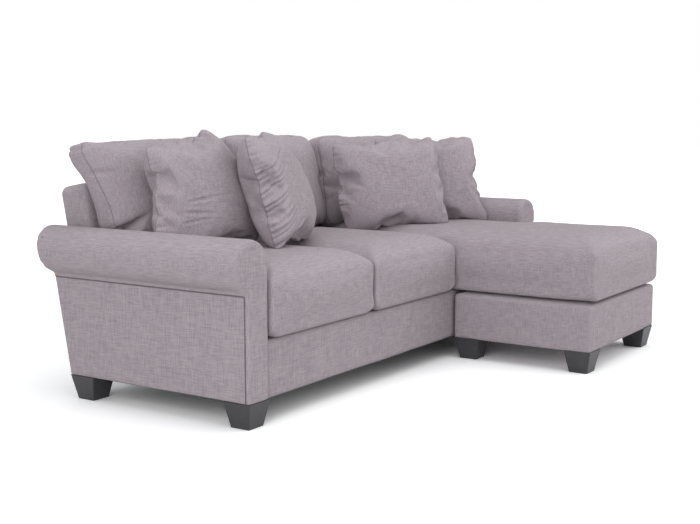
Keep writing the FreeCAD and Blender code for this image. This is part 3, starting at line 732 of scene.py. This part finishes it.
# %% Model the back
back_thickness = 0.130
back_height = 0.682
back_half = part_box("back_cover")[1].x
back = add_block("back", (-back_half, -back_thickness, 0.0), (back_half, 0.0, back_height))
round_edges(back, lambda a, b: max(a.z, b.z) > back_height - HAIR, radius=0.026, steps=5)
lean = Matrix.Translation((0.0, rear_y, base_z)) @ Matrix.Rotation(-rake, 4, "X")
back.data.transform(lean)
edit_whole(back, bpy.ops.mesh.bisect, plane_co=(0.0, 0.0, base_z + HAIR), plane_no=(0.0, 0.0, -1.0),
           use_fill=True, clear_outer=True)

# %% Room for the arms in the back
arm_gap = 0.001
room_low = (side_x - 0.3, -1.0, -0.1)
room_high = (arm_high.x + 0.0005, 2.0, roll_z)
for is_right in (False, True):
    room = arm_form("arm_room", arm_gap)
    combine(room, add_block("beside_arm", room_low, room_high), "UNION")
    if is_right:
        mirror(room)
    combine(back, room, "DIFFERENCE")
soften(back, grain=0.008, rounds=4, slack=0.003, slack_size=0.25)
mark_cloth(back)
finish_soft(back, linen, "sofa_frame", "back_cover")

# %% [markdown]
# ## The front border and the deck
# A padded border closes the front under the seat cushions, rolled over at its top. The deck
# behind it is a flat cloth over the springs, seen only when a cushion is pulled out. It is
# cut into small cells and dips a little between the springs.

# %% Model the border
border_low, border_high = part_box("front_border_cover")
border = add_block("front_border", border_low, border_high)
border_front = border_low.y + HAIR
border_top = border_high.z - HAIR
round_edges(border, lambda a, b: max(a.y, b.y) < border_front and min(a.z, b.z) > border_top,
            radius=0.016, steps=5)
soften(border, grain=0.006, rounds=2, slack=0.0022, slack_size=0.18)
mark_cloth(border)
finish_soft(border, linen, "sofa_frame", "front_border_cover")

# %% Model the deck
deck_low, deck_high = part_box("deck_cover")
deck = add_block("deck", deck_low, deck_high)
edit_whole(deck, bpy.ops.mesh.subdivide, number_cuts=40)
dip = 0.0022
dip_length = 0.213
dip_rate = 9.0
points = points_of(deck)
points[:, 2] += dip * np.sin(points[:, 0] * 2 * math.pi / dip_length) * np.sin(points[:, 1] * dip_rate)
points[:, 2] = np.clip(points[:, 2], deck_low.z, deck_high.z + 0.0001)
set_points(deck, points)
mark_cloth(deck)
finish_soft(deck, linen, "sofa_frame", "deck_cover")

# %% [markdown]
# ## The ottoman
# The ottoman's cover is a plain box of cloth drawn tight over its rails, with rounded upright
# corners and a low crown on top where the pad lies.

# %% Model the ottoman's cover
low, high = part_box("ottoman_cover")
edge_top = 0.274
crown_rim = 0.2
top_layer = 0.02
ottoman = add_block("ottoman", low, (high.x, high.y, edge_top))
round_edges(ottoman, upright, radius=0.007, steps=3)
round_edges(ottoman, lambda a, b: min(a.z, b.z) > edge_top - HAIR, radius=0.010, steps=4)
soften(ottoman, grain=0.006, rounds=2, slack=0.0016, slack_size=0.2)
points = points_of(ottoman)
middle = (np.array(low) + np.array(high)) / 2
half = (np.array(high) - np.array(low)) / 2
edge_share = (np.abs(points - middle) / half)[:, :2].max(axis=1)
crown = (high.z - edge_top) * np.clip((1.0 - edge_share) / crown_rim, 0.0, 1.0)
points[:, 2] += np.where(points[:, 2] > edge_top - top_layer, crown, 0.0)
set_points(ottoman, points)
press_clear(ottoman, [frame["nodes"]["ottoman_pad"]])
mark_cloth(ottoman)
finish_soft(ottoman, linen, "ottoman", "ottoman_cover")

# %% [markdown]
# ## The seat cushions
# The seat cushions are firm foam in a cover that rolls over the front edge, with a crowned
# top and a flat bottom. Each one starts from a block with rounded edges. Its top is raised
# towards the middle, the cover is drawn tight over that by the stuffing, and the corners are
# drawn back out. The chaise's cushion also has a wing in front of the arm.

# %% Sizes of the seat cushions
CROWN = 0.053
FLAT_SIDE = 0.09
FIRM_BOTTOM = 0.07
CORNER_REACH = 0.040
CORNER_PULL = 0.020
CHAISE_CORNER_PULL = 0.034


# %% Helpers for the seat cushions
def distance_to_outline(points, outline):
    """How far points in the XY plane are from a closed outline."""
    flat = points[:, :2]
    nearest = np.full(len(points), np.inf)
    for a, b in zip(outline, outline[1:] + outline[:1]):
        a, run = np.array(a), np.array(b) - np.array(a)
        t = np.clip((flat - a) @ run / (run @ run), 0.0, 1.0)
        nearest = np.minimum(nearest, np.linalg.norm(flat - a - t[:, None] * run, axis=1))
    return nearest


def square_corners(points, low, high, is_chaise):
    """Draws the upright corners out. The chaise has its notch where its fourth corner would be."""
    for x, side in ((low.x, -1.0), (high.x, 1.0)):
        for y, end in ((low.y, -1.0), (high.y, 1.0)):
            if is_chaise and side > 0 and end > 0:
                continue
            pull = CHAISE_CORNER_PULL if is_chaise and side > 0 else CORNER_PULL
            near = bell(np.linalg.norm(points[:, :2] - [x, y], axis=1), CORNER_REACH)[:, None]
            points[:, :2] += near * np.array([side, end]) * pull
    return np.clip(points, low, high)


def lift_front_corners(points, low, high):
    """Lifts the lower front corners a little, as foam does that is round at its edges."""
    lift, side_reach, rear_reach, fades_up = 0.020, 0.026, 0.10, 0.12
    to_side = np.minimum(points[:, 0] - low.x, high.x - points[:, 0])
    raised = lift * bell(to_side, side_reach) * bell(points[:, 1] - low.y, rear_reach)
    points[:, 2] += raised * np.clip(1.0 - (points[:, 2] - low.z) / fades_up, 0.0, 1.0)


# %% Model the seat cushions
def seat_cover(node, grain, fall):
    """Tight cover of a seat cushion. Its crown falls off over a given way to its edges."""
    is_chaise = node == "chaise_cushion"
    low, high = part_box(node)
    low, high = low + Vector((0.001, 0.001, 0.0004)), high - Vector((0.001, 0.001, 0.0))
    top = high.z - CROWN
    piece = add_block(node.replace("cushion", "cover"), low, (high.x, high.y, top))
    outline = [(low.x, low.y), (high.x, low.y), (high.x, high.y), (low.x, high.y)]
    if is_chaise:
        inner, back_of_wing = -arm_high.x - 0.002, arm_low.y - 0.008
        combine(piece, add_block("notch", (inner, back_of_wing, 0.0), (3.0, 3.0, 1.0)), "DIFFERENCE")
        outline[2:3] = [(high.x, back_of_wing), (inner, back_of_wing), (inner, high.y)]
    round_edges(piece, upright, radius=0.024, steps=3)
    round_edges(piece, lambda a, b: max(a.z, b.z) < low.z + HAIR, radius=0.013, steps=2)
    round_edges(piece, lambda a, b: min(a.z, b.z) > top - HAIR, radius=0.016, steps=2)
    even_skin(piece, grain)
    points = points_of(piece)
    inward = np.clip(distance_to_outline(points, outline) / fall, 0.0, 1.0)
    raised = CROWN * (1.0 - (1.0 - inward) ** 3)
    upper = np.clip((points[:, 2] - low.z - FLAT_SIDE) / (top - low.z - FLAT_SIDE), 0.0, 1.0)
    points[:, 2] += raised * upper
    set_points(piece, points)
    smooth_skin(piece, 3)
    rest = points_of(piece)
    swell(piece, 3.0, 10, 0.008, grow=-0.01, bending=2.0)
    loosen(piece, 0.003, 0.22, shift=low.x)
    above_deck = np.clip((rest[:, 2] - low.z) / FIRM_BOTTOM, 0.0, 1.0)[:, None]
    set_points(piece, rest + (points_of(piece) - rest) * above_deck)
    fit_box(piece, low, high)
    points = square_corners(points_of(piece), low, high, is_chaise)
    lift_front_corners(points, low, high)
    set_points(piece, points)
    mark_cloth(piece)
    apply_modifier(piece, "SUBSURF", levels=1, render_levels=1)
    press_clear(piece, [frame["nodes"][node.replace("cushion", "foam")]])
    finish_soft(piece, linen, node + "_unit", node)
    return piece


seats = {"left": seat_cover("seat_cushion_left", grain=0.013, fall=0.18),
         "middle": seat_cover("seat_cushion_middle", grain=0.013, fall=0.18),
         "chaise": seat_cover("chaise_cushion", grain=0.014, fall=0.12)}

# %% [markdown]
# ## The back cushions
# The back cushions hold loose filling, so they bulge more and their covers pucker. Each has a
# front and a rear panel and a boxing between them. The outer ones slump out over the arms,
# and the free corner of each tucks under itself. Each cover is a copy of its solid, stood
# upright, made a little smaller, swollen with a looser cloth and leaned back again.

# %% Sizes of the back cushions
BOXING_FRONT = -0.258
BOXING_REAR = -0.170
TIP_OUT = 0.030
SLUMP_IN = 0.092
SLUMP_UP = 0.100


# %% Helpers for the back cushions
def copy_of_solid(node, name):
    """A copy of a solid of the construction, its loose triangles merged."""
    source = frame["nodes"][node]
    piece = bpy.data.objects.new(name, source.data.copy())
    scene.collection.objects.link(piece)
    piece.data.materials.clear()
    edit_whole(piece, bpy.ops.mesh.remove_doubles, threshold=0.0001)
    return piece


def pull_corner(piece, corner, towards, reach):
    """Draws the skin out round a corner, where the cloth ends in a tip."""
    points = points_of(piece)
    near = bell(np.linalg.norm((points - corner)[:, [0, 2]], axis=1), reach)
    set_points(piece, points + near[:, None] * np.array(towards))


# %% Model the back cushions
def back_cushion_cover(side, free_side, shift, folds):
    """Cover of a back cushion. free_side is -1 or 1 where it slumps out over an arm, else 0."""
    node = "back_cushion_" + side
    piece = copy_of_solid(node, "back_cushion_cover_" + side)
    piece.data.transform(lean.inverted())
    even_skin(piece, 0.0095)
    smooth_skin(piece, 4)
    rest = points_of(piece)
    a, b = rest.min(axis=0), rest.max(axis=0)
    middle = (a + b) / 2
    set_points(piece, (rest - middle) * [0.99, 0.90, 0.99] + middle)
    swell(piece, 4.0, 16, 0.024, grow=0.005, bending=0.6)
    loosen(piece, 0.005, 0.15, shift=shift)
    fit_box(piece, a, b + [0.0, 0.0, 0.010])
    end = a[0] if free_side <= 0 else b[0]
    if free_side:
        slump = (end - SLUMP_IN * free_side, 0.0, a[2] + SLUMP_UP)
        pull_corner(piece, (end, 0.0, b[2]), (TIP_OUT * free_side, 0.0, 0.014), 0.060)
        pull_corner(piece, slump, (0.012 * free_side, 0.0, -0.016), 0.040)
    else:
        pull_corner(piece, (end, 0.0, b[2]), (-0.010, 0.0, 0.010), 0.05)
    mark_cloth(piece)
    # The two boxing seams get a dark line of painted shade in the cloth, and are sunk in below.
    mark_seam(piece, beside_two(rest[:, 1], BOXING_FRONT, BOXING_REAR))
    apply_modifier(piece, "SUBSURF", levels=1, render_levels=1)
    sink_seam(piece, 0.0030, 0.007)
    press_folds(piece, folds)
    if free_side:
        tip_x, tip_z = end + TIP_OUT * free_side, b[2] + 0.020
        tuck = (tip_x + 0.02 * free_side, tip_z - 0.056, tip_x - 0.075 * free_side, tip_z - 0.026,
                0.006, 0.006)
        press_folds(piece, [tuck], all_round=True)
    piece.data.transform(lean)
    finish_soft(piece, loose_linen, node + "_unit", node)
    return piece


slump_folds = [(-1.050, 0.700, -0.990, 0.690, 0.006, 0.009), (-0.995, 0.425, -0.900, 0.520, 0.018, 0.012),
               (-0.960, 0.415, -0.880, 0.470, 0.015, 0.010), (-0.930, 0.412, -0.840, 0.440, 0.012, 0.010)]
mirrored_folds = [(-x0, z0, -x1, z1, depth, width) for x0, z0, x1, z1, depth, width in slump_folds]
noise_step = 3.1
backs = {"left": back_cushion_cover("left", -1, 0.0, slump_folds),
         "middle": back_cushion_cover("middle", 0, noise_step, []),
         "right": back_cushion_cover("right", 1, 2 * noise_step, mirrored_folds)}

# %% [markdown]
# ## The throw pillows
# A throw pillow is two squares of cloth sewn face to face and overfilled. Its edges are thin,
# some corners stand out as ears, and the cloth gathers along the seams. The squares are cut
# with bowed sides, because stuffing draws the sides in. The double sheet is blown up, its
# sides are let out again where they drew in, and it is set on the seat by its four corners.

# %% Sizes of the throw pillows
PILLOW_CELLS = 50
PILLOW_WIDTH = 0.50
PILLOW_HEIGHT = 0.44
PILLOW_THICKNESS = 0.178
CUT_BOW = 0.112
CORNERS = ((-1, -1), (1, -1), (1, 1), (-1, 1))
SIDES = ((0, 2, -1), (0, 2, 1), (2, 0, -1), (2, 0, 1))


# %% Helpers for the throw pillows
def flat_cover(name, cuts):
    """Two cuts of cloth joined at their edges, lying in the XZ plane, face to face along Y.
    The cuts say how much each corner is rounded off: lower left, lower right, upper right,
    upper left."""
    bpy.ops.object.select_all(action="DESELECT")
    bpy.ops.mesh.primitive_grid_add(x_subdivisions=PILLOW_CELLS, y_subdivisions=PILLOW_CELLS,
                                    size=1.0, rotation=(math.pi / 2, 0.0, 0.0))
    piece = bpy.context.object
    piece.name = name
    bpy.ops.object.transform_apply(location=True, rotation=True, scale=True)
    points = points_of(piece) * 2.0
    s, t = points[:, 0].copy(), points[:, 2].copy()
    points[:, 0] *= 1.0 + CUT_BOW * (1.0 - t ** 2)
    points[:, 2] *= 1.0 + CUT_BOW * (1.0 - s ** 2)
    for (right, upper), cut in zip(CORNERS, cuts):
        near = np.clip(s * right, 0.0, 1.0) * np.clip(t * upper, 0.0, 1.0)
        points *= (1.0 - cut * near ** 4)[:, None]
    set_points(piece, points * [PILLOW_WIDTH / 2, 1.0, PILLOW_HEIGHT / 2])
    apply_modifier(piece, "SOLIDIFY", thickness=0.006, offset=0.0, use_rim=True)
    return piece


def square_up(piece, tips, bows):
    """Stuffing draws the sides in. This lets each side out again to a bow of its own, given
    for left, right, lower and upper as a share of the half size."""
    points = points_of(piece)
    half = np.abs(points[tips]).max(axis=0)
    share = points / half
    for (axis, other, sign), bow in zip(SIDES, bows):
        reached = share[np.abs(share[:, other]) < 0.1][:, axis] * sign
        out = (1.0 + bow) / reached.max() - 1.0
        stretch = 1.0 + out * np.clip(1.0 - share[:, other] ** 2, 0.0, 1.0)
        points[:, axis] *= np.where(share[:, axis] * sign > 0.0, stretch, 1.0)
    set_points(piece, points)


def set_on_corners(piece, tips, corners):
    """Maps a pillow, whose cloth ends at tips, onto four corner points: lower left, lower
    right, upper right, upper left."""
    points = points_of(piece)
    half_wide, half_tall = np.abs(points[tips][:, [0, 2]]).max(axis=0)
    u = (points[:, 0] / half_wide / 2 + 0.5)[:, None]
    v = (points[:, 2] / half_tall / 2 + 0.5)[:, None]
    depth = points[:, 1] / np.ptp(points[:, 1]) * PILLOW_THICKNESS
    ll, lr, ur, ul = (np.array(c) for c in corners)
    base = ll * (1 - u) * (1 - v) + lr * u * (1 - v) + ur * u * v + ul * (1 - u) * v
    along = (lr - ll) * (1 - v) + (ur - ul) * v
    up = (ul - ll) * (1 - u) + (ur - lr) * u
    out = np.cross(up, along)
    out /= np.linalg.norm(out, axis=1)[:, None]
    set_points(piece, base + out * depth[:, None])


def edge_gathers(seed, edge, first, last, count, reach, depth, slope=0.0):
    """Folds that start at one edge of a pillow, spread between two shares of its length."""
    draw = np.random.RandomState(seed)
    half_wide, half_tall = PILLOW_WIDTH / 2, PILLOW_HEIGHT / 2
    folds = []
    for i in range(count):
        share = first + (last - first) * (i + draw.uniform(-0.25, 0.25)) / (count - 1)
        length = reach * draw.uniform(0.5, 1.0)
        lift = slope * length + draw.uniform(-0.1, 0.1) * length
        x, z = share * PILLOW_WIDTH - half_wide, share * PILLOW_HEIGHT - half_tall
        ends = {"left": (-half_wide, z, -half_wide + length, z + lift),
                "right": (half_wide, z, half_wide - length, z + lift),
                "lower": (x, -half_tall, x + lift, -half_tall + length)}
        folds.append((*ends[edge], depth * draw.uniform(0.6, 1.0), draw.uniform(0.0035, 0.0065)))
    return folds


# %% [markdown]
# The four corners of each pillow were read from the picture, in millimetres from the base's
# left front corner on the floor. Cuts and bows say how round its corners and sides are.

# %% Plans of the throw pillows
base_corner = Vector((1.069, 0.15996, 0.0))


def from_base(*corners):
    """Points measured in millimetres from the base's left front corner, in the frame."""
    return [Vector(c) / 1000.0 - base_corner for c in corners]


pillow_plans = {
    "left": dict(
        corners=from_base((112, 478, 538), (650, 465, 538), (530, 548, 960), (124, 545, 908)),
        cuts=(0.10, 0.04, 0.14, 0.0), bows=(-0.03, 0.07, 0.0, 0.03),
        folds=edge_gathers(3, "left", 0.30, 0.92, 9, 0.07, 0.005)
        + [(-0.13, -0.02, 0.10, -0.015, 0.005, 0.006), (-0.15, -0.055, -0.01, -0.075, 0.005, 0.006),
           (-0.16, -0.09, -0.05, -0.085, 0.004, 0.005), (-0.22, -0.155, -0.10, -0.15, 0.005, 0.006)]),
    "left_front": dict(
        corners=from_base((475, 246, 534), (972, 425, 540), (880, 565, 930), (445, 364, 946)),
        cuts=(0.0, 0.14, 0.14, 0.02), bows=(0.02, 0.12, 0.0, 0.03),
        folds=edge_gathers(5, "left", 0.08, 0.60, 12, 0.22, 0.008, 0.45)
        + edge_gathers(8, "left", 0.66, 0.97, 6, 0.07, 0.006)),
    "right_front": dict(
        corners=from_base((1312, 482, 520), (1735, 215, 520), (1735, 295, 925), (1315, 562, 900)),
        cuts=(0.0, 0.02, 0.04, 0.0), bows=(0.03, 0.02, -0.03, 0.01),
        folds=edge_gathers(11, "left", 0.06, 0.94, 15, 0.045, 0.005)
        + edge_gathers(12, "lower", 0.35, 0.95, 6, 0.05, 0.005)
        + [(0.025, -0.215, 0.06, -0.15, 0.006, 0.007), (0.14, -0.215, 0.18, -0.15, 0.006, 0.007)]),
    "right": dict(
        corners=from_base((1650, 500, 530), (2006, 155, 520), (2002, 240, 915), (1655, 585, 922)),
        cuts=(0.04, 0.0, 0.0, 0.05), bows=(0.0, -0.07, -0.02, 0.0),
        folds=edge_gathers(21, "right", 0.06, 0.94, 11, 0.035, 0.004)
        + edge_gathers(22, "lower", 0.10, 0.90, 8, 0.04, 0.005)),
}


# %% Model the throw pillows
def throw_pillow(side, shift, corners, cuts, bows, folds):
    """Sews, stuffs and squares up a pillow, presses its folds in and sets it on its corners."""
    piece = flat_cover("throw_pillow_" + side, cuts)
    flat = points_of(piece)
    tips = [int(np.argmax(flat[:, 0] * right + flat[:, 2] * upper)) for right, upper in CORNERS]
    loosen(piece, 0.002, 0.05, shift=shift)
    swell(piece, 5.0, 22, 0.12, grow=0.02, bending=0.6, tension=12.0)
    smooth_skin(piece, 2)
    square_up(piece, tips, bows)
    mark_cloth(piece)
    # The seam round the pillow's edge gets a dark line of painted shade.
    mark_seam(piece, points_of(piece)[:, 1])
    apply_modifier(piece, "SUBSURF", levels=2, render_levels=2)
    press_folds(piece, folds)
    set_on_corners(piece, tips, corners)
    return piece


pillows = {}
for i, (side, plan) in enumerate(pillow_plans.items()):
    pillows[side] = throw_pillow(side, i * 2.3, **plan)
leans_on = {"left": [seats["left"], backs["left"]],
            "left_front": [seats["left"], seats["middle"], pillows["left"], backs["middle"]],
            "right": [seats["chaise"], backs["right"]],
            "right_front": [seats["middle"], seats["chaise"], backs["middle"], pillows["right"]]}
for side, others in leans_on.items():
    press_clear(pillows[side], others)
    finish_soft(pillows[side], loose_linen, "pillow_" + side + "_unit", "pillow_" + side)

# %% [markdown]
# ## The feet and what the covers hide
# The feet are tapered blocks of hardwood in charcoal satin lacquer. The frame under the cloth
# is sawn softwood, bent board, spring wire, webbing and foam. They keep their solids and get
# their own finishes.

# %% Fine grain and wear as a node group
grain, start, end = new_group("brushed_lacquer", [("Place", VECTOR), ("Base", COLOUR), ("Worn", COLOUR)],
                              SURFACE)
place = start.outputs["Place"]
lines = grain_noise(grain, place, [0.0016, 0.0016, 0.06], 3.0)
cloud = grain_noise(grain, place, [0.03] * 3, 3.0)
worn = map_range(grain, cloud, 0.52, 0.78)
shade = blend_colour(grain, worn, start.outputs["Base"], start.outputs["Worn"])
dark = blend_colour(grain, lines, shade, start.outputs["Base"])
grain.links.new(dark, end.inputs["Colour"])
grain.links.new(sum_node(grain, "MULTIPLY_ADD", cloud, 0.22, 0.34), end.inputs["Roughness"])
grain.links.new(lines, end.inputs["Height"])


# %% Finishes of the pieces that keep their solids
def grained_material(name, base, worn_colour, strength, metallic=0.0):
    """Material with fine upright lines and cloudy wear between two colours."""
    values = {"Base": (*base, 1.0), "Worn": (*worn_colour, 1.0)}
    made, group, skin = grouped_material(name, grain, values, strength, 0.0004)
    reader = made.node_tree.nodes.new("ShaderNodeTexCoord")
    made.node_tree.links.new(reader.outputs["Object"], group.inputs["Place"])
    skin.inputs["Metallic"].default_value = metallic
    return made


finishes = {
    "feet": grained_material("charcoal_lacquer", (0.030, 0.029, 0.033), (0.060, 0.058, 0.064), 0.25),
    "wood": grained_material("sawn_pine", (0.42, 0.27, 0.13), (0.62, 0.45, 0.26), 0.6),
    "bent_board": grained_material("bent_hardboard", (0.23, 0.15, 0.09), (0.3, 0.21, 0.13), 0.4),
    "steel": grained_material("spring_wire", (0.42, 0.42, 0.43), (0.55, 0.55, 0.56), 0.2, 1.0),
    "webbing": grained_material("elastic_webbing", (0.05, 0.05, 0.055), (0.12, 0.12, 0.13), 0.8),
    "foam": grained_material("foam", (0.72, 0.66, 0.48), (0.82, 0.77, 0.6), 0.5),
    "dust_cloth": grained_material("dust_cloth", (0.012, 0.012, 0.013), (0.03, 0.03, 0.032), 0.6),
}
slots = {row["node"]: row["material_slot"] for row in frame["record"]["subparts"]}
for node, solid in frame["nodes"].items():
    if slots[node] in finishes:
        solid.data.materials.clear()
        solid.data.materials.append(finishes[slots[node]])
print("finishes", list(finishes))
